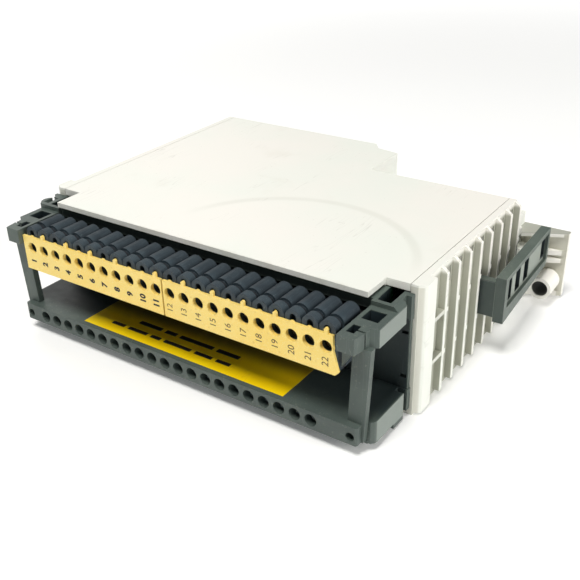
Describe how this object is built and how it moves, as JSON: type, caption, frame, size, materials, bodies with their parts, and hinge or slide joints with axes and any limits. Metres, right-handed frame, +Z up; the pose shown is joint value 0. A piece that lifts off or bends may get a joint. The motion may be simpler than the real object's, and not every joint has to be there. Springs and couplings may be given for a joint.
{
  "type": "plug-in input/output module",
  "caption": "Slim ivory rack controller module lying on its side: plug-in screw terminals with a yellow marker strip over an open wiring space, indicator bar, ribbed ends and release lever.",
  "frame": {"origin": "middle of the footprint, on the surface that the module lies on", "axes": "+X along the terminal row towards the last terminal, +Y from the terminals to the back, +Z up through the module's thickness"},
  "size_m": [0.1464, 0.1178, 0.0404],
  "materials": {
    "ivory_case": "moulded, fine grain, slightly aged",
    "olive_plastic": "moulded, fine grain, lighter worn edges",
    "slate_plastic": "moulded, fine sparked grain",
    "marker_yellow": "thin moulded strip, satin",
    "sticker_yellow": "self-adhesive film",
    "zinc_steel": "zinc plated, dull",
    "contact_brass": "plated brass",
    "black_plastic": "moulded black",
    "board_laminate": "green solder mask",
    "lamp_lens": "milky lens, unlit",
    "resistor_red": "dipped coating",
    "capacitor_blue": "sleeve over a can",
    "converter_black": "black finned can",
    "fuse_ceramic": "ceramic body in clips",
    "connector_grey": "glass filled, grey"
  },
  "bodies": {
    "base": {"case_cover": "ivory_case", "case_tub": "ivory_case", "mounting_foot": "ivory_case", "foot_screws": "zinc_steel", "front_frame": "olive_plastic", "pin_header_1": "black_plastic", "pin_header_2": "black_plastic", "header_pins_1": "contact_brass", "header_pins_2": "contact_brass", "header_board": "board_laminate", "main_board": "board_laminate", "indicator_lamps": "lamp_lens", "processor_chip": "black_plastic", "logic_chips": "black_plastic", "optocouplers": "black_plastic", "resistor_networks": "resistor_red", "filter_capacitors": "capacitor_blue", "power_converter": "converter_black", "crystal": "zinc_steel", "board_fuse": "fuse_ceramic", "board_screws": "zinc_steel", "bus_connector": "connector_grey", "bus_pins": "contact_brass", "lever_pin": "zinc_steel", "lever_spring": "zinc_steel", "floor_sticker": "sticker_yellow"},
    "terminal_plug_1": {"terminal_block_1": "slate_plastic", "marker_strip_1": "marker_yellow", "terminal_screws_1": "zinc_steel", "clamp_cages_1": "contact_brass"},
    "terminal_plug_2": {"terminal_block_2": "slate_plastic", "marker_strip_2": "marker_yellow", "terminal_screws_2": "zinc_steel", "clamp_cages_2": "contact_brass"},
    "lever": {"release_lever": "olive_plastic"}
  },
  "joints": [
    {"name": "terminal_1_unplug", "type": "slide", "parent": "base", "child": "terminal_plug_1", "axis": [0, -1, 0], "range_m": [0, 0.012]},
    {"name": "terminal_2_unplug", "type": "slide", "parent": "base", "child": "terminal_plug_2", "axis": [0, -1, 0], "range_m": [0, 0.012]},
    {"name": "lever_press", "type": "hinge", "parent": "base", "child": "lever", "pos_m": [0.05517, 0.00655, 0.0201], "axis": [0, 0, 1], "range_deg": [0, 4.5], "stiffness_Nm_per_rad": 0.3, "springref_deg": -1.72}
  ]
}
